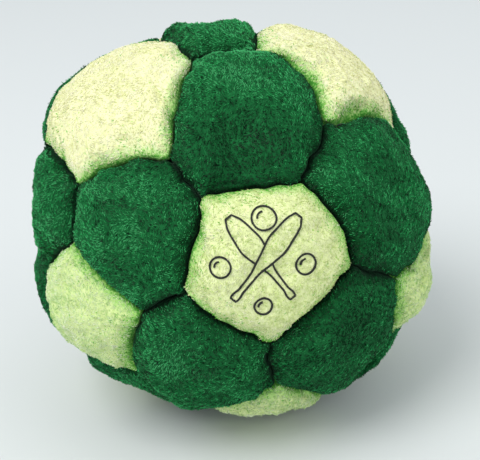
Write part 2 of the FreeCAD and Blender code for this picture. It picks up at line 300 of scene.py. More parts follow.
def dome_faces(sides):
    faces = []
    for k in range(sides):
        for u in range(GRID_ROWS):
            for v in range(GRID_ROWS):
                spots = [(u, v), (u + 1, v), (u + 1, v + 1), (u, v + 1)]
                faces.append([ring_index(max(s), k, *s, sides) for s in spots])
    return faces


def mesh_object(name, points, faces):
    mesh = bpy.data.meshes.new(name)
    mesh.from_pydata([tuple(p) for p in points], [], faces)
    obj = bpy.data.objects.new(name, mesh)
    bpy.context.scene.collection.objects.link(obj)
    return obj


def vertices(mesh):
    flat = np.zeros(len(mesh.vertices) * 3, np.float32)
    mesh.vertices.foreach_get("co", flat)
    return flat.reshape(-1, 3).astype(float)


def evaluated(obj):
    """The object's mesh with its modifiers applied. The object is removed."""
    graph = bpy.context.evaluated_depsgraph_get()
    mesh = bpy.data.meshes.new_from_object(obj.evaluated_get(graph))
    bpy.data.objects.remove(obj)
    return mesh


def blow_up(panels):
    """Cloth simulation of all 32 faces at once: each is held at its seams and pushed out by the
    filling. Returns each face's points."""
    starts = [dome_points(p) for p in panels]
    points, faces, held = [], [], []
    for panel, start in zip(panels, starts):
        first, sides = len(points), len(panel.corners)
        edge = 1 + sides * GRID_ROWS * (GRID_ROWS - 1)
        held += range(first + edge, first + len(start))
        points += list(start * SIM_PER_MM)
        faces += [[first + i for i in face] for face in dome_faces(sides)]
    cloth = mesh_object("cloth_run", points, faces)
    cloth.vertex_groups.new(name="held").add(held, 1, "REPLACE")
    run = cloth.modifiers.new("run", "CLOTH")
    run.settings.quality = 6
    run.settings.mass = 0.3
    run.settings.tension_stiffness = 20
    run.settings.compression_stiffness = 20
    run.settings.shear_stiffness = 8
    run.settings.bending_stiffness = 1.5
    run.settings.shrink_min = -0.03
    run.settings.use_pressure = True
    run.settings.uniform_pressure_force = 4
    run.settings.vertex_group_mass = "held"
    run.settings.effector_weights.gravity = 0
    run.collision_settings.use_collision = False
    for number in range(1, SIM_FRAMES + 1):
        bpy.context.scene.frame_set(number)
    moved = vertices(evaluated(cloth)) * MM_PER_SIM
    bpy.context.scene.frame_set(1)
    sizes = np.cumsum([len(s) for s in starts])[:-1]
    return [capped(s, m) for s, m in zip(starts, np.split(moved, sizes))]


def capped(start, moved):
    """The moved points, none further than the limit from where it started."""
    step = moved - start
    length = np.linalg.norm(step, axis=1, keepdims=True)
    return start + step * np.minimum(1, SIM_LIMIT / np.maximum(length, 1e-9))


def shell(panel, dome):
    """A coarse closed shell of cloth: the blown-up face, its edges turned in down the seams, and the
    same again on the inside. Returns its points and faces."""
    sides = len(panel.corners)
    edge_count = 2 * GRID_ROWS * sides
    face = panel.keep_inside(dome, SEAM_GAP)
    edge = face[-edge_count:]
    radii = np.linspace(SEAM_RADIUS, FOOT_RADIUS, FLANGE_ROWS + 1)[1:]
    flange = [edge * (radius / SEAM_RADIUS) for radius in radii]
    outside = np.vstack([face] + flange)
    depth = panel.depths(outside).min(1)
    sunk = CLOTH * np.clip(depth / CLOTH_TAPER, 0, 1)
    inside = outside * (1 - sunk / np.linalg.norm(outside, axis=1))[:, None]
    inside = panel.keep_inside(inside, SEAM_GAP + CLOTH)
    faces = dome_faces(sides)
    last = len(face) - edge_count
    for row in range(FLANGE_ROWS):
        first = last + row * edge_count
        faces += strip(first, first + edge_count, edge_count)
    count = len(outside)
    inner_faces = [[count + i for i in reversed(f)] for f in faces]
    rim = len(outside) - edge_count
    return np.vstack([outside, inside]), faces + inner_faces + strip(rim, count + rim, edge_count)


def strip(upper, lower, count):
    """Faces between two rings of points, facing out of a panel whose upper ring is numbered
    counterclockwise."""
    turns = [(i, (i + 1) % count) for i in range(count)]
    return [[upper + a, lower + a, lower + b, upper + b] for a, b in turns]


# Where the seams, stitched by hand, wander: how far each place moves to the east and north, as on
# a globe. A corner is named by the two five-sided panels that its seam's line runs between, the
# nearer first. A place is one corner, or the middle between two. Moves of 0 hold a place still
# between others that move.
WANDER = [
    ([(3, 2)], -3.0, 4.0),
    ([(3, 1)], -1.0, 2.0),
    ([(3, 4)], 1.0, -1.0),
    ([(3, 6)], -1.5, -4.0),
    ([(3, 9)], 0.0, -1.0),
    ([(1, 2)], 1.0, 3.0),
    ([(1, 3)], 0.5, 2.0),
    ([(1, 4)], 0.5, 0.0),
    ([(1, 5)], 3.0, 1.5),
    ([(1, 7)], 4.5, -1.5),
    ([(4, 1)], -0.5, -0.5),
    ([(4, 3)], -1.0, -0.5),
    ([(4, 7)], 1.0, 0.0),
    ([(4, 9)], 0.0, 0.0),
    ([(4, 10)], -0.5, -1.0),
    ([(7, 1)], 4.5, -5.0),
    ([(7, 4)], 3.0, -3.0),
    ([(7, 10)], 2.5, -2.0),
    ([(9, 3)], 0.0, 0.0),
    ([(9, 4)], 1.0, 0.0),
    ([(9, 10)], -1.0, -1.0),
    ([(10, 4)], 1.0, -2.5),
    ([(10, 7)], 3.0, -7.0),
    ([(10, 9)], -0.5, -5.0),
    ([(2, 3)], -4.0, -4.0),
    ([(6, 3)], -3.0, -3.0),
    ([(3, 2), (3, 1)], 1.0, 2.5),
    ([(3, 1), (3, 4)], -0.5, -0.5),
    ([(3, 4), (3, 9)], 0.5, 0.5),
    ([(3, 9), (3, 6)], 0.5, -2.0),
    ([(3, 6), (3, 2)], -8.0, -1.0),
    ([(3, 1), (1, 3)], -0.5, 2.5),
    ([(1, 3), (1, 4)], 2.5, 3.0),
    ([(1, 2), (1, 5)], 3.5, 2.0),
    ([(1, 5), (1, 7)], 4.0, 0.5),
    ([(1, 4), (1, 7)], 3.0, 0.5),
    ([(4, 3), (4, 9)], -0.5, 0.0),
    ([(4, 1), (4, 7)], 1.0, 1.0),
    ([(4, 9), (4, 10)], -1.0, -1.0),
    ([(4, 7), (4, 10)], 0.5, -1.0),
    ([(9, 3), (9, 4)], 0.0, 0.0),
    ([(9, 4), (9, 10)], 0.0, 1.5),
    ([(7, 1), (7, 4)], 5.0, -5.5),
    ([(4, 10), (10, 4)], 0.0, -1.0),
]
WANDER_REACH = 5.0
WANDER_RADIUS = 26.0  # from the ball's centre to the places that move
WANDER_ELSEWHERE = 0.6  # at the other corners, either way
WANDER_SEED = 5

# Layers of noise that also move the seams sideways: height, wavelength and first seed.
SEAM_SWAY = (0.20, 9, 40)
SEAM_WOBBLE = (0.15, 3.2, 50)

# Folds pressed into the cloth, before the seams wander: azimuth and elevation of one end and of the
# other, half the width and the depth.
FOLDS = [
    (-5, 46, -1, 37, 1.7, 1.9),
    (37, 38.5, 44, 37.5, 0.7, 1.2),
    (56, 30, 60, 33, 0.6, 0.6),
    (120, 40, 128, 30, 1.2, 0.6),
    (215, -8, 224, -16, 1.1, 0.6),
    (165, 14, 157, 24, 1.2, 0.5),
    (-95, 8, -88, 16, 1.2, 0.5),
]

# Places where the filling pushes the cloth out, or leaves it in if the height is below 0, before the
# seams wander: azimuth, elevation, reach and height.
LUMPS = [
    (-90, 46, 5.0, 1.2),
    (-132, 70, 2.5, 1.2),
    (-85, 60, 3.0, -0.9),
    (-106, 48, 3.0, 0.6),
    (128, 58, 4.5, -0.8),
    (32, 59, 3.0, 0.7),
    (45, 35.5, 1.2, 0.7),
    (38, -12, 1.5, 0.6),
    (-8, 43, 3.0, 0.5),
    (-14, 32, 2.5, -0.5),
    (-40, 20, 5.0, 0.4),
]

# How far the ball's outline, seen from the camera, stands out or in: the angle about the ball's
# centre from the camera's right, counterclockwise, and the height.
OUTLINE = [
    (14, -2.7),
    (48, 0.4),
    (60, -0.4),
    (90, -1.5),
    (120, -1.8),
    (142, -0.8),
    (167, -1.4),
    (194, -1.2),
    (217, 1.1),
    (235, -1.0),
    (254, -1.5),
    (277, -0.9),
    (300, 0.5),
    (330, 1.5),
]
OUTLINE_REACH = 6.0
OUTLINE_FORWARD = 0.15  # the outline lies this share of the radius in front of the ball's middle

# Layers of noise on a panel's face: height, wavelength and seed.
FILLING = (0.20, 9, 1)
CREASING = (0.09, 3.6, 2)
NAP_CLUMPS = (0.040, 1.3, 3)
NAP_GRAIN = (0.030, 0.8, 4)
GAP_CHANGE = (0.12, 9, 61)  # how half the gap in a seam changes
GAP_MOST = 0.144
GATHER_SHIFT = (1.0, 6, 7)  # of the gathers along a seam, in radians of their wave

GATHER = 0.14  # height of the gathers along a seam
GATHER_PITCH = 2.9
GATHER_REACH = 1.3
GATHER_EASE = 0.5  # there are none at the very edge, and they are full from this far inside it
PUCKER = 0.6  # how far the stitches pull the cloth in where three seams meet
PUCKER_REACH = 1.5

RELIEF_EASE = 1.2  # unevenness of a face is full from this far inside its seams
FACE_EASE = 0.9  # cloth is wholly a panel's face from this height above the bottom of the seams
FOLD_START = 0.3  # folds and lumps begin at this height above the cut edge
FOLD_FULL = 0.5  # and are full from this height above the bottom of the seams

REST_EASE = 1.2  # how gently the flat that the ball rests on begins
REST_SHARPNESS = 3
REST_REACH = 3  # the height above which the flat makes no difference

FOOT_GAP = 0.2  # the gap at the feet of the turned-in edges, as a share of the gap above
LAY_STEP = 7.0  # keeps each panel's pattern of nap apart from the others'


def wander(panels):
    """The places that wander, and each one's pull, such that together they move every place by what
    WANDER says, and every other corner by a little."""
    axes = {p.number: p.axis for p in panels if p.kind == "pent"}
    rng = np.random.default_rng(WANDER_SEED)
    listed = list(WANDER)
    named = [names[0] for names, east, north in WANDER if len(names) == 1]
    for a, b in itertools.permutations(sorted(axes), 2):
        if neighbours(axes[a], axes[b]) and (a, b) not in named:
            listed.append(([(a, b)], *rng.normal(0, WANDER_ELSEWHERE, 2)))
    places, moves = [], []
    for names, east, north in listed:
        place = unit(sum(seam_corner(axes[a], axes[b]) for a, b in names))
        eastward = unit(np.cross([0, 0, 1], place))
        places.append(place * WANDER_RADIUS)
        moves.append(east * eastward + north * np.cross(place, eastward))
    places = np.array(places)
    near = falloff(places[:, None] - places, WANDER_REACH)
    return places, np.linalg.solve(near, np.array(moves))


def drifted(points):
    """Bends the ball's surface along itself where its seams wander, but not the turned-in edges'
    feet."""
    near = falloff(points[:, None] - WANDER_PLACES, WANDER_REACH)
    move = near @ WANDER_PULLS
    for axis in range(3):
        move[:, axis] += uneven(points, SEAM_SWAY, axis) + uneven(points, SEAM_WOBBLE, axis)
    outward = unit(points)
    move -= (move * outward).sum(1, keepdims=True) * outward
    radius = np.linalg.norm(points, axis=1)
    return points + move * smooth(radius, FOOT_RADIUS, SEAM_RADIUS)[:, None]


def fold_depth(points):
    """How far the folds, the lumps and the outline move each point outwards."""
    outward = unit(points) * BALL_RADIUS
    total = np.zeros(len(points))
    for az1, el1, az2, el2, width, depth in FOLDS:
        a, b = direction(az1, el1) * BALL_RADIUS, direction(az2, el2) * BALL_RADIUS
        along = np.clip((outward - a) @ (b - a) / ((b - a) @ (b - a)), 0, 1)
        total -= depth * falloff(outward - (a + along[:, None] * (b - a)), width)
    for azimuth, elevation, reach, height in LUMPS:
        place = direction(azimuth, elevation) * BALL_RADIUS
        total += height * falloff(outward - place, reach)
    for angle, height in OUTLINE:
        turn = math.radians(angle)
        place = unit(RIGHT * math.cos(turn) + UP * math.sin(turn) + BACK * OUTLINE_FORWARD) * BALL_RADIUS
        total += height * falloff(outward - place, OUTLINE_REACH)
    return total


def rested(points):
    """Flattens what would be below the surface that the ball rests on, and rounds it off above."""
    floor = -CENTRE.z
    height = points[:, 2] - floor
    eased = REST_EASE * np.log1p(np.exp(height / REST_EASE * REST_SHARPNESS)) / REST_SHARPNESS
    points = points.copy()
    points[:, 2] = floor + np.where(height < REST_REACH, np.maximum(eased, 0.0), height)
    return points


def relief(panel, points, outer):
    """Outward movement of the cloth: folds and lumps, which go through it, and on its face
    unevenness of the filling, gathers along the seams, puckers at the corners and clumps of nap."""
    depth = np.clip(panel.depths(points).min(1), 0, None)
    which = panel.depths(points).argmin(1)
    edges = unit(np.roll(panel.corners, -1, axis=0) - panel.corners)
    along = (points * edges[which]).sum(1)
    gathers = np.sin(2 * math.pi * along / GATHER_PITCH + 2 * which + uneven(points, GATHER_SHIFT))
    total = uneven(points, FILLING) + uneven(points, CREASING)
    total += GATHER * gathers * np.exp(-depth / GATHER_REACH) * smooth(depth, 0, GATHER_EASE)
    for corner in panel.corners:
        total -= PUCKER * falloff((unit(points) - corner) * BALL_RADIUS, PUCKER_REACH)
    total += uneven(points, NAP_CLUMPS) + uneven(points, NAP_GRAIN)
    radius = np.linalg.norm(points, axis=1)
    through = smooth(radius, FOOT_RADIUS + FOLD_START, SEAM_RADIUS + FOLD_FULL)
    return total * smooth(depth, 0, RELIEF_EASE) * outer + fold_depth(points) * through


def make_panel(panel, dome):
    """The panel's piece, its points in mm, how far each of them is on the face, from 0 to 1, and how
    deep inside the seam planes it lay before the seams wandered."""
    coarse, faces = shell(panel, dome)
    rough = mesh_object("coarse", coarse, faces)
    put_attribute(rough.data, "outside", "FLOAT", "value", np.arange(len(coarse)) < len(dome))
    fine = rough.modifiers.new("fine", "SUBSURF")
    fine.levels = FINE_LEVELS
    mesh = evaluated(rough)
    points = vertices(mesh)
    radius = np.linalg.norm(points, axis=1)
    outer = np.zeros(len(points), np.float32)
    mesh.attributes["outside"].data.foreach_get("value", outer)
    mesh.attributes.remove(mesh.attributes["outside"])
    outer = outer * smooth(radius, SEAM_RADIUS, SEAM_RADIUS + FACE_EASE)
    depth = panel.depths(points).min(1)
    points = points + unit(points) * relief(panel, points, outer)[:, None]
    gap = SEAM_GAP + np.clip(uneven(points, GAP_CHANGE), 0, GAP_MOST)
    points = panel.keep_inside(points, gap * (FOOT_GAP + (1 - FOOT_GAP) * outer))
    points = rested(drifted(points))
    mesh.vertices.foreach_set("co", to_frame(points).astype(np.float32).ravel())
    put_attribute(mesh, "seam", "FLOAT", "value", depth)
    apart = np.full(len(points), panel.number * LAY_STEP)
    flat = np.stack([points @ panel.side, points @ panel.rise, apart], 1)
    put_attribute(mesh, "lay", "FLOAT_VECTOR", "vector", flat)
    mesh.polygons.foreach_set("use_smooth", np.ones(len(mesh.polygons), bool))
    mesh.update()
    obj = bpy.data.objects.new("%s_suede_%02d" % (panel.kind, panel.number), mesh)
    bpy.context.scene.collection.objects.link(obj)
    return obj, points, outer, depth


def put_attribute(mesh, name, kind, field, values):
    attribute = mesh.attributes.new(name, kind, "POINT")
    attribute.data.foreach_set(field, np.asarray(values, np.float32).ravel())


# ---------------------------------------------------------------- nap

NAP_PER_MM2 = 24
NAP_SEED = {"pent": 1000, "hex": 1100}
NAP_EDGE = 0.35  # fibres grow where the cloth is the panel's face by more than this share
NAP_LENGTH = (0.24, 0.50)
NAP_WIDTH = (0.034, 0.058)  # from a needle's middle to its three corners
NAP_LIFT = (18, 52)  # degrees that a fibre's root stands up from the cloth
NAP_DEPTH = 0.05  # of its root in the cloth
NAP_TAPER = 0.85  # its width at its bend, as a share of that at the root
NAP_TIP_LIFT = 0.2  # the lift past its bend, as a share of that at the root
NAP_STRAY = 0.15  # how far the tips point astray
NAP_CLEARANCE = 0.02  # above the surface that the ball rests on

# Layers of noise in the nap: height, wavelength and seed.
SWIRLS = [(0.9, 9, 21), (0.5, 2.2, 22)]  # the way it lies, in radians
SHADES = [(0.45, 5, 31), (0.6, 0.8, 32)]
SWIRL_SPREAD = 0.35  # of single fibres, at random
SHADE_SPREAD = 0.6
TONE_STEPS = [-0.8, 0.1, 0.95]  # the shades at which one tone gives way to the next
NAP_TONES = len(TONE_STEPS) + 1  # not counting the one near the seams: greener on the pale cloths, painted shade on the green one

EDGE_TINT_AND_SHADE_REACH = 1.05  # how far from the seams fibres take the last tone
EDGE_TINT_AND_SHADE_MOST = 0.85  # the share of fibres at a seam that take it
EDGE_TINT_AND_SHADE_PATCHES = (1.0, 6, 33)  # the layer of noise that says where they take it
EDGE_TINT_AND_SHADE_RANGE = (-1.9, 0.5)  # that noise where none do, and where most do

# A fibre's faces: its points are three at the root, three at the bend, and the tip.
NEEDLE = [
    (0, 2, 1), (0, 1, 4), (0, 4, 3), (1, 2, 5), (1, 5, 4),
    (2, 0, 3), (2, 3, 5), (3, 4, 6), (4, 5, 6), (5, 3, 6),
]

# Spots of painted shade that darken the nap, and of painted light where the strength is below 0:
# azimuth, elevation, reach and strength.
PAINTED_SHADE_SPOTS = [
    (-2, 38, 4.0, 3.0),
    (-6, 44, 3.0, 0.8),
    (2, 74, 6.0, -1.2),
    (-66, 22, 6.0, -0.5),
    (24, -8, 6.0, 1.4),
    (14, -11, 4.0, 0.6),
    (36, 16, 3.0, 0.6),
    (-32, 7, 3.0, 0.5),
    (-19, -14, 5.0, 0.3),
    (8, 51, 5.0, -0.5),
]


def triangles(mesh):
    mesh.calc_loop_triangles()
    flat = np.zeros(len(mesh.loop_triangles) * 3, np.int32)
    mesh.loop_triangles.foreach_get("vertices", flat)
    return flat.reshape(-1, 3)


def make_nap(panel, mesh, points, outer, depth, clear=None):
    """Short fibres over the panel's face, each a closed, bent and tapered three-sided needle. They
    grow only where clear, if it is given, says that a place is clear."""
    rng = np.random.default_rng(NAP_SEED[panel.kind] + panel.number)
    tris = triangles(mesh)
    tris = tris[outer[tris].min(1) > NAP_EDGE]
    a, b, c = points[tris[:, 0]], points[tris[:, 1]], points[tris[:, 2]]
    cross = np.cross(b - a, c - a)
    area = np.linalg.norm(cross, axis=1) / 2
    count = int(area.sum() * NAP_PER_MM2)
    pick = rng.choice(len(tris), count, p=area / area.sum())
    s, t = rng.random(count), rng.random(count)
    flip = s + t > 1
    s, t = np.where(flip, 1 - s, s), np.where(flip, 1 - t, t)
    root = a[pick] + (b - a)[pick] * s[:, None] + (c - a)[pick] * t[:, None]
    normal = unit(cross[pick])
    inset = depth[tris[pick]].mean(1)
    if clear is not None:
        free = clear(root)
        root, normal, inset = root[free], normal[free], inset[free]
        count = len(root)
    swirl = sum(uneven(root, layer) for layer in SWIRLS) + rng.normal(0, SWIRL_SPREAD, count)
    side = unit(np.cross(normal, panel.rise + 0.3))
    ahead = np.cross(side, normal)
    lay = side * np.cos(swirl)[:, None] + ahead * np.sin(swirl)[:, None]
    lift = np.radians(rng.uniform(*NAP_LIFT, count))[:, None]
    start = lay * np.cos(lift) + normal * np.sin(lift)
    lift = lift * NAP_TIP_LIFT
    end = unit(lay * np.cos(lift) + normal * np.sin(lift) + rng.normal(0, NAP_STRAY, (count, 3)))
    length = rng.uniform(*NAP_LENGTH, count)[:, None]
    width = rng.uniform(*NAP_WIDTH, count)[:, None]
    across = unit(np.cross(start, normal))
    over = np.cross(across, start)
    root = root - normal * NAP_DEPTH
    bend = root + start * length * 0.5
    tip = bend + end * length * 0.5
    rings = []
    for middle, size in ((root, 1.0), (bend, NAP_TAPER)):
        for turn in (90, 210, 330):
            x, y = math.cos(math.radians(turn)), math.sin(math.radians(turn))
            rings.append(middle + (across * x + over * y) * width * size)
    spots = np.stack(rings + [tip], 1)
    spots[..., 2] = np.maximum(spots[..., 2], -CENTRE.z + NAP_CLEARANCE)
    faces = (np.arange(count)[:, None, None] * spots.shape[1] + np.array(NEEDLE)).reshape(-1, 3)
    shade = sum(uneven(root, layer) for layer in SHADES) + rng.normal(0, SHADE_SPREAD, count)
    # Painted shade darkens the fibres' tones here, and painted light lightens them.
    tone = np.digitize(shade - streaks_and_painted_shade(root), TONE_STEPS)
    # Near the seams fibres take the last tone: greener on the pale cloths, painted shade on the green
    # one.
    patches = smooth(uneven(root, EDGE_TINT_AND_SHADE_PATCHES), *EDGE_TINT_AND_SHADE_RANGE)
    tint_and_shade_chance = np.exp(-inset / EDGE_TINT_AND_SHADE_REACH) * EDGE_TINT_AND_SHADE_MOST * patches
    tone[rng.random(count) < tint_and_shade_chance] = NAP_TONES
    nap = bpy.data.meshes.new("nap")
    fill_triangles(nap, to_frame(spots.reshape(-1, 3)), faces, np.repeat(tone, len(NEEDLE)))
    obj = bpy.data.objects.new("%s_nap_%02d" % (panel.kind, panel.number), nap)
    bpy.context.scene.collection.objects.link(obj)
    return obj


def streaks_and_painted_shade(points):
    """How much painted shade darkens the nap at each point; below 0 it is painted light that lightens
    it.
    """
    total = np.zeros(len(points))
    for azimuth, elevation, reach, strength in PAINTED_SHADE_SPOTS:
        gaps = unit(points) - direction(azimuth, elevation)
        total += strength * falloff(gaps * BALL_RADIUS, reach)
    return total


def fill_triangles(mesh, points, faces, slots):
    """Fills an empty mesh with triangles, each with its own material slot."""
    mesh.vertices.add(len(points))
    mesh.vertices.foreach_set("co", points.astype(np.float32).ravel())
    mesh.loops.add(faces.size)
    mesh.loops.foreach_set("vertex_index", faces.astype(np.int32).ravel())
    mesh.polygons.add(len(faces))
    mesh.polygons.foreach_set("loop_start", np.arange(len(faces), dtype=np.int32) * 3)
    mesh.polygons.foreach_set("use_smooth", np.ones(len(faces), bool))
    mesh.polygons.foreach_set("material_index", slots.astype(np.int32))
    mesh.update(calc_edges=True)


# ---------------------------------------------------------------- print

INK_HALF_WIDTH = 0.13
INK_TOP = 0.16  # above the cloth, level with the nap
INK_FOOT = -0.08
INK_TOP_SHARE = 0.8  # width of a line's top, as a share of its foot's
INK_CLEARANCE = 0.30  # from a line's middle to the nearest nap
INK_BRIDGE = 3  # points on each side over which a line evens out the cloth's grain
RAY_START = 40  # a radius outside the ball
PRINT_LEFT = 0.035  # the print is this share of the radius left of the panel's middle

ARC_STEP = 0.2
CLUB_STEP = 0.18
CLUB_LEAN = 38
CLUB_LENGTH = 13.0
CLUB_MIDDLE = 6.0  # from its foot to where it turns
# A club's knob, handle, body and top: how far along it, and half the width there.
CLUB_PROFILE = [
    (0, 0.3), (0.3, 0.62), (0.7, 0.56), (1.1, 0.30), (4.2, 0.40),
    (6.0, 0.85), (8.5, 1.45), (11.2, 1.15), (12.4, 0.85), (CLUB_LENGTH, 0.3),
]
# The balls: their places to the right and up, and radii.
BALLS = [(0, 5.3, 1.5), (-5.3, -0.6, 1.3), (5.3, -0.6, 1.3), (0, -5.6, 1.1)]
GLINT = 0.55  # the radius of the arc inside a ball, as a share of the ball's
GLINT_ARC = (100, 185)  # in degrees


def arc(x, y, radius, start, end):
    """Points of an arc of a circle, from one angle to another in degrees."""
    steps = max(6, int(abs(end - start) / 180 * math.pi * radius / ARC_STEP))
    turn = np.radians(np.linspace(start, end, steps + 1))
    return np.stack([x + radius * np.cos(turn), y + radius * np.sin(turn)], 1)


def club(lean):
    """The outline of a juggling club whose top leans to one side, as a closed line."""
    spine, half = zip(*CLUB_PROFILE)
    along = np.arange(0, CLUB_LENGTH, CLUB_STEP)
    across = settled(np.interp(along, spine, half), closed=False)
    line = np.vstack([np.stack([across, along], 1), np.stack([-across, along], 1)[::-1]])
    line = np.vstack([line, line[:1]]) - [0, CLUB_MIDDLE]
    turn = math.radians(lean)
    spun = [line[:, 0] * math.cos(turn) + line[:, 1] * math.sin(turn)]
    spun.append(line[:, 1] * math.cos(turn) - line[:, 0] * math.sin(turn))
    return np.stack(spun, 1)


def behind(stroke, front):
    """The parts of a stroke that a closed outline in front of it doesn't hide."""
    x, y = stroke[:, :1], stroke[:, 1:]
    x1, y1, x2, y2 = front[:-1, 0], front[:-1, 1], front[1:, 0], front[1:, 1]
    crossing = ((y1 > y) != (y2 > y)) & (x < x1 + (y - y1) * (x2 - x1) / (y2 - y1 + 1e-12))
    shown = crossing.sum(1) % 2 == 0
    parts = np.split(np.arange(len(stroke)), np.flatnonzero(np.diff(shown.astype(int))) + 1)
    return [stroke[part] for part in parts if shown[part[0]] and len(part) > 3]


def motif():
    """Two crossed juggling clubs with four balls round them, in outline."""
    front = club(CLUB_LEAN)
    strokes = [front] + behind(club(-CLUB_LEAN), front)
    for x, y, radius in BALLS:
        strokes.append(arc(x, y, radius, 0, 360))
        strokes.append(arc(x, y, radius * GLINT, *GLINT_ARC))
    return strokes


def make_print(panel, points, tris):
    """The motif's lines, each a closed ribbon of ink that follows the cloth. Returns the piece and a
    test that says which points are clear of it."""
    tree = BVHTree.FromPolygons(points.tolist(), tris.tolist())
    middle = unit(panel.axis - PRINT_LEFT * RIGHT)
    right = unit(RIGHT - (RIGHT @ middle) * middle)
    up = np.cross(middle, right)
    spots, faces, line = [], [], []
    for stroke in motif():
        closed = np.allclose(stroke[0], stroke[-1])
        if closed:
            stroke = stroke[:-1]
        rays = unit(middle * BALL_RADIUS + stroke[:, :1] * right + stroke[:, 1:] * up)
        hits = [tree.ray_cast(Vector(ray * RAY_START), Vector(-ray))[0] for ray in rays]
        radius = settled(np.array([hit.length for hit in hits]), closed)
        centre = rays * radius[:, None]
        ahead = np.roll(centre, -1, 0) - np.roll(centre, 1, 0)
        if not closed:
            ahead[0], ahead[-1] = centre[1] - centre[0], centre[-1] - centre[-2]
        beside = unit(np.cross(unit(ahead), rays)) * INK_HALF_WIDTH
        first = len(spots) * 4
        foot, top = centre + rays * INK_FOOT, centre + rays * INK_TOP
        narrow = beside * INK_TOP_SHARE
        spots += list(np.stack([foot - beside, foot + beside, top + narrow, top - narrow], 1))
        count = len(stroke)
        for i in range(count if closed else count - 1):
            here, there = first + i * 4, first + (i + 1) % count * 4
            for e in range(4):
                f = (e + 1) % 4
                faces.append((here + e, here + f, there + f, there + e))
        if not closed:
            last = first + (count - 1) * 4
            faces.append((first + 3, first + 2, first + 1, first))
            faces.append((last, last + 1, last + 2, last + 3))
        line.append(centre)
    obj = mesh_object("panel_print", to_frame(np.array(spots).reshape(-1, 3)), faces)
    line = np.vstack(line)

    def clear(roots):
        squared = ((roots[:, None] - line) ** 2).sum(2).min(1)
        return squared > INK_CLEARANCE**2

    return obj, clear


def settled(values, closed):
    """A running mean along a line."""
    width = 2 * INK_BRIDGE + 1
    padded = np.pad(values, INK_BRIDGE, mode="wrap" if closed else "edge")
    return np.convolve(padded, np.ones(width) / width, "valid")


# ---------------------------------------------------------------- materials


class Nodes:
    """A new material's node graph."""

    def __init__(self, name):
        self.material = bpy.data.materials.new(name)
        self.material.use_nodes = True
        self.tree = self.material.node_tree
        self.shader = next(n for n in self.tree.nodes if n.type == "BSDF_PRINCIPLED")

    def add(self, kind, **inputs):
        node = self.tree.nodes.new(kind)
        for name, value in inputs.items():
            self.put(node.inputs[name.replace("_", " ")], value)
        return node

    def put(self, socket, value):
        if isinstance(value, bpy.types.NodeSocket):
            self.tree.links.new(value, socket)
        else:
            socket.default_value = value

    def set(self, **inputs):
        for name, value in inputs.items():
            self.put(self.shader.inputs[name.replace("_", " ")], value)

    def attribute(self, name):
        node = self.add("ShaderNodeAttribute")
        node.attribute_name = name
        return node

    def position(self):
        """The point's place in millimetres."""
        place = self.add("ShaderNodeNewGeometry").outputs["Position"]
        node = self.add("ShaderNodeVectorMath", Vector=place)
        node.operation = "SCALE"
        node.inputs["Scale"].default_value = MM_PER_M
        return node.outputs[0]

    def noise(self, vector, scale, detail=2.0, roughness=0.5, distortion=0.0):
        node = self.add("ShaderNodeTexNoise", Vector=vector, Scale=scale, Detail=detail)
        node.inputs["Roughness"].default_value = roughness
        node.inputs["Distortion"].default_value = distortion
        return node.outputs["Fac"]

    def math(self, operation, a, b=0.0):
        node = self.tree.nodes.new("ShaderNodeMath")
        node.operation = operation
        self.put(node.inputs[0], a)
        self.put(node.inputs[1], b)
        return node.outputs[0]

    def stretch(self, value, low, high, to_low=0.0, to_high=1.0):
        limits = {"From Min": low, "From Max": high, "To Min": to_low, "To Max": to_high}
        node = self.add("ShaderNodeMapRange", Value=value)
        for name, limit in limits.items():
            node.inputs[name].default_value = limit
        return node.outputs["Result"]

    def mix(self, share, a, b):
        node = self.tree.nodes.new("ShaderNodeMix")
        node.data_type = "RGBA"
        self.put(node.inputs["Factor"], share)
        self.put(node.inputs[6], a)
        self.put(node.inputs[7], b)
        return node.outputs[2]

    def scaled(self, vector, x, y, z):
        node = self.tree.nodes.new("ShaderNodeVectorMath")
        node.operation = "MULTIPLY"
        self.put(node.inputs[0], vector)
        node.inputs[1].default_value = (x, y, z)
        return node.outputs[0]

    def warped(self, vector, by, amount):
        """The vector moved about by noise."""
        noise = self.add("ShaderNodeTexNoise", Vector=vector, Scale=by).outputs["Color"]
        centred = self.tree.nodes.new("ShaderNodeVectorMath")
        centred.operation = "SUBTRACT"
        self.put(centred.inputs[0], noise)
        centred.inputs[1].default_value = (0.5, 0.5, 0.5)
        moved = self.tree.nodes.new("ShaderNodeVectorMath")
        moved.operation = "MULTIPLY_ADD"
        self.put(moved.inputs[0], centred.outputs[0])
        moved.inputs[1].default_value = (amount, amount, amount)
        self.put(moved.inputs[2], vector)
        return moved.outputs[0]

    def bump(self, height, distance):
        """Grain of the given depth in metres."""
        node = self.add("ShaderNodeBump", Height=height)
        node.inputs["Distance"].default_value = distance
        self.put(self.shader.inputs["Normal"], node.outputs["Normal"])


def colour(red, green, blue):
    """A linear colour from one as a screen shows it, each 0 to 255."""

    def linear(c):
        c = c / 255
        return c / 12.92 if c <= 0.04045 else ((c + 0.055) / 1.055) ** 2.4

    return (linear(red), linear(green), linear(blue), 1.0)


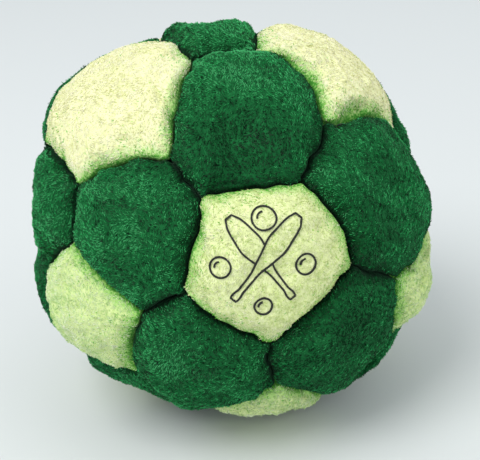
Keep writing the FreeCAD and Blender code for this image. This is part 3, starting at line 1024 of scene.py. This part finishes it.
def suede(name, deep, base, light, edge_tint_and_shade, painted_seam_shade, speck, speck_share, sheen_tint):
    """Short-napped cloth: streaks of nap that swirl, patches where its nap lies the other way,
    specks of stray fibre, a band along the edges that is greener on the pale cloths and painted
    shade on the green one, and painted shade in the seams. Its colours are given as a screen shows
    them."""
    tints = [colour(*tint) for tint in (deep, base, light, edge_tint_and_shade, painted_seam_shade, speck, sheen_tint)]
    deep, base, light, edge_tint_and_shade, painted_seam_shade, speck, sheen_tint = tints
    n = Nodes(name)
    lay = n.warped(n.attribute("lay").outputs["Vector"], 0.16, 9.0)
    streaks = n.noise(n.scaled(lay, 3.4, 0.9, 1.0), 1.0, 3.0, 0.6, 0.4)
    place = n.position()
    patches = n.noise(place, 0.22, 2.0)
    grain = n.noise(place, 3.2, 2.0, 0.6)
    specks = n.noise(place, 2.1, 1.0)
    streaks_and_painted_shade = n.mix(n.stretch(streaks, 0.34, 0.68), deep, light)
    toned = n.mix(n.stretch(patches, 0.3, 0.7, 0.25, 0.6), streaks_and_painted_shade, base)
    speckled = n.mix(n.stretch(specks, 1 - speck_share, 1 - speck_share + 0.06), toned, speck)
    seam = n.math("ADD", n.attribute("seam").outputs["Fac"], n.stretch(grain, 0.3, 0.7, -0.35, 0.35))
    # A band along the edges: painted shade on the green cloth, and greener on the pale ones.
    with_edge_tint_and_shade = n.mix(n.stretch(seam, 0.3, 1.7, 0.8, 0.0), speckled, edge_tint_and_shade)
    # Painted shade in the seams, near black on the green cloth and dark green on the pale ones.
    with_painted_seam_shade = n.mix(n.stretch(seam, 0.1, 0.6, 0.95, 0.0), with_edge_tint_and_shade, painted_seam_shade)
    n.set(Base_Color=with_painted_seam_shade, Roughness=n.stretch(grain, 0.2, 0.8, 0.82, 1.0))
    n.set(Sheen_Weight=0.1, Sheen_Roughness=0.45, Sheen_Tint=sheen_tint, Specular_IOR_Level=0.05)
    height = n.math("ADD", streaks, n.math("MULTIPLY", grain, 0.8))
    n.bump(height, 0.00016)
    return n.material


def fibre(name, tint):
    """One tone of the nap."""
    n = Nodes(name)
    n.set(Base_Color=tint, Roughness=0.9, Specular_IOR_Level=0.05)
    n.set(Sheen_Weight=0.12, Sheen_Roughness=0.4, Sheen_Tint=(0.75, 1.0, 0.8, 1.0))
    return n.material


def twisted_thread():
    """Dark green sewing thread with its plies."""
    n = Nodes("twisted_thread")
    place = n.position()
    wave = n.add("ShaderNodeTexWave", Vector=place, Scale=2.6, Distortion=2.0, Detail=2.0)
    wave.bands_direction = "DIAGONAL"
    fuzz = n.noise(place, 6.0, 2.0)
    n.set(Base_Color=n.mix(wave.outputs["Fac"], colour(12, 44, 24), colour(32, 96, 54)))
    n.set(Roughness=n.stretch(fuzz, 0.3, 0.7, 0.55, 0.8), Sheen_Weight=0.3)
    n.bump(wave.outputs["Fac"], 0.00006)
    return n.material


def moulded_pellets():
    """Milky plastic with faint flow marks and dust."""
    n = Nodes("moulded_pellets")
    place = n.position()
    flow = n.noise(n.scaled(place, 1.0, 1.0, 0.25), 0.7, 3.0, 0.55, 0.6)
    dust = n.noise(place, 4.0, 3.0)
    n.set(Base_Color=n.mix(n.stretch(flow, 0.3, 0.7), colour(214, 216, 208), colour(236, 238, 232)))
    n.set(Roughness=n.stretch(dust, 0.3, 0.7, 0.28, 0.5))
    n.set(Subsurface_Weight=0.15, Subsurface_Scale=0.001)
    n.bump(dust, 0.00003)
    return n.material


def print_ink():
    """Black ink, a little worn."""
    n = Nodes("print_ink")
    worn = n.noise(n.position(), 2.4, 3.0, 0.6)
    n.set(Base_Color=n.mix(n.stretch(worn, 0.45, 0.75), colour(14, 18, 14), colour(38, 44, 30)))
    n.set(Roughness=n.stretch(worn, 0.3, 0.7, 0.6, 0.9))
    n.bump(worn, 0.00005)
    return n.material


# ---------------------------------------------------------------- build

SUEDE = {
    "green": suede(
        "green_suede",
        deep=(8, 52, 25),
        base=(17, 82, 42),
        light=(34, 114, 62),
        edge_tint_and_shade=(9, 56, 26),
        painted_seam_shade=(2, 14, 7),
        speck=(4, 30, 14),
        speck_share=0.34,
        sheen_tint=(150, 230, 180),
    ),
    "pale": suede(
        "pale_suede",
        deep=(190, 216, 130),
        base=(212, 229, 156),
        light=(228, 238, 182),
        edge_tint_and_shade=(120, 198, 74),
        painted_seam_shade=(54, 134, 40),
        speck=(140, 196, 80),
        speck_share=0.30,
        sheen_tint=(255, 255, 235),
    ),
    # A lighter, warmer copy of the pale cloth: painted highlight, for the panels round the top.
    "warm_painted_highlight": suede(
        "warm_painted_highlight_suede",
        deep=(222, 228, 160),
        base=(238, 239, 190),
        light=(246, 245, 208),
        edge_tint_and_shade=(126, 200, 78),
        painted_seam_shade=(56, 140, 42),
        speck=(170, 210, 100),
        speck_share=0.28,
        sheen_tint=(255, 255, 235),
    ),
    # A lighter copy of the pale cloth: painted light, for the printed panel.
    "mild_painted_light": suede(
        "mild_painted_light_suede",
        deep=(206, 222, 144),
        base=(226, 234, 174),
        light=(238, 242, 196),
        edge_tint_and_shade=(126, 200, 78),
        painted_seam_shade=(56, 140, 42),
        speck=(160, 206, 92),
        speck_share=0.30,
        sheen_tint=(255, 255, 235),
    ),
}
# The nap's tones from dark to light, and last that of fibres near the seams: greener on the pale
# cloths, painted shade on the green one.
TONES = {
    "green": [(4, 46, 21), (22, 118, 60), (44, 154, 84), (70, 180, 110), (10, 60, 28)],
    "pale": [(188, 220, 146), (212, 235, 178), (224, 240, 192), (238, 246, 214), (106, 192, 64)],
    # Lighter nap: painted light.
    "mild_painted_light": [(208, 224, 148), (228, 236, 176), (236, 241, 190), (245, 247, 213), (112, 196, 66)],
    # Lighter, warmer nap: painted highlight.
    "warm_painted_highlight": [(226, 228, 168), (240, 237, 192), (245, 242, 204), (251, 248, 222), (114, 196, 66)],
}
NAP = {
    cloth: [fibre("%s_nap_%d" % (cloth, i), colour(*tone)) for i, tone in enumerate(tones, 1)]
    for cloth, tones in TONES.items()
}
PRINTED = 4  # the five-sided panel with the print
PAINTED_HIGHLIGHT_PANELS = (1, 2, 3)  # the palest five-sided panels, round the top: their lighter, warmer cloth is painted highlight


def cloth_of(panel):
    """Which of the four cloth colours the panel gets. Those of the printed panel and of the panels
    round the top are lighter copies of the pale one, as painted light.
    """
    if panel.kind == "hex":
        return "green"
    if panel.number == PRINTED:
        return "mild_painted_light"
    return "warm_painted_highlight" if panel.number in PAINTED_HIGHLIGHT_PANELS else "pale"


panels = make_panels()
WANDER_PLACES, WANDER_PULLS = wander(panels)
for panel, dome in zip(panels, blow_up(panels)):
    cover, points, outer, depth = make_panel(panel, dome)
    cover.data.materials.clear()
    cover.data.materials.append(SUEDE[cloth_of(panel)])
    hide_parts(panel.node)
    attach(cover, "root")
    clear = None
    if cloth_of(panel) == "mild_painted_light":
        ink, clear = make_print(panel, points, triangles(cover.data))
        ink.data.materials.append(print_ink())
        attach(ink, "root")
    nap = make_nap(panel, cover.data, points, outer, depth, clear)
    for tone in NAP[cloth_of(panel)]:
        nap.data.materials.append(tone)
    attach(nap, "root")

thread, pellets = twisted_thread(), moulded_pellets()
for name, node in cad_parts.items():
    if "panel" not in name:
        node.data.materials.clear()
        node.data.materials.append(pellets if "pellets" in name else thread)


# ---------------------------------------------------------------- stage, light and camera


def make_floor(half=3.0):
    """A pale sheet, of which half is half the width in metres."""
    n = Nodes("pale_floor")
    n.set(Base_Color=colour(217, 221, 222), Roughness=0.95, Specular_IOR_Level=0.1)
    corners = [(-half, -half, 0), (half, -half, 0), (half, half, 0), (-half, half, 0)]
    floor = mesh_object("floor", corners, [(0, 1, 2, 3)])
    floor.data.materials.append(n.material)


def area_light(name, azimuth, elevation, distance, size, watts, tint):
    """A round soft light that points at the ball's centre. Its size and distance are in metres."""
    light = bpy.data.lights.new(name, "AREA")
    light.shape = "DISK"
    light.size = size
    light.energy = watts
    light.color = tint
    obj = bpy.data.objects.new(name, light)
    bpy.context.scene.collection.objects.link(obj)
    away = direction(azimuth, elevation)
    obj.location = Vector(away * distance) + CENTRE * M_PER_MM
    obj.rotation_euler = Vector(-away).to_track_quat("-Z", "Y").to_euler()


def make_world(strength=0.93):
    """Even pale light from all round."""
    world = bpy.data.worlds.new("pale")
    world.use_nodes = True
    background = world.node_tree.nodes["Background"]
    background.inputs["Color"].default_value = colour(232, 236, 238)
    background.inputs["Strength"].default_value = strength
    bpy.context.scene.world = world
    bpy.context.scene.view_settings.view_transform = "Standard"


def make_camera():
    data = bpy.data.cameras.new("camera")
    data.lens = CAMERA_LENS
    data.sensor_width = CAMERA_SENSOR
    data.clip_start, data.clip_end = 0.01, 20
    obj = bpy.data.objects.new("camera", data)
    bpy.context.scene.collection.objects.link(obj)
    place = BACK * CAMERA_DISTANCE
    aim = RIGHT * AIM_RIGHT - UP * AIM_DOWN
    back = unit(place - aim)
    right = unit(np.cross(UP, back))
    up = np.cross(back, right)
    turn = Matrix((right, up, back)).transposed().to_4x4()
    obj.matrix_world = Matrix.Translation(Vector(to_frame(place))) @ turn
    bpy.context.scene.camera = obj


make_floor()
area_light("key", -52, 54, distance=0.6, size=0.36, watts=2.2, tint=(1.0, 0.99, 0.97))
area_light("fill", 45, 25, distance=0.7, size=0.5, watts=0.7, tint=(1.0, 1.0, 0.97))
make_world()
make_camera()
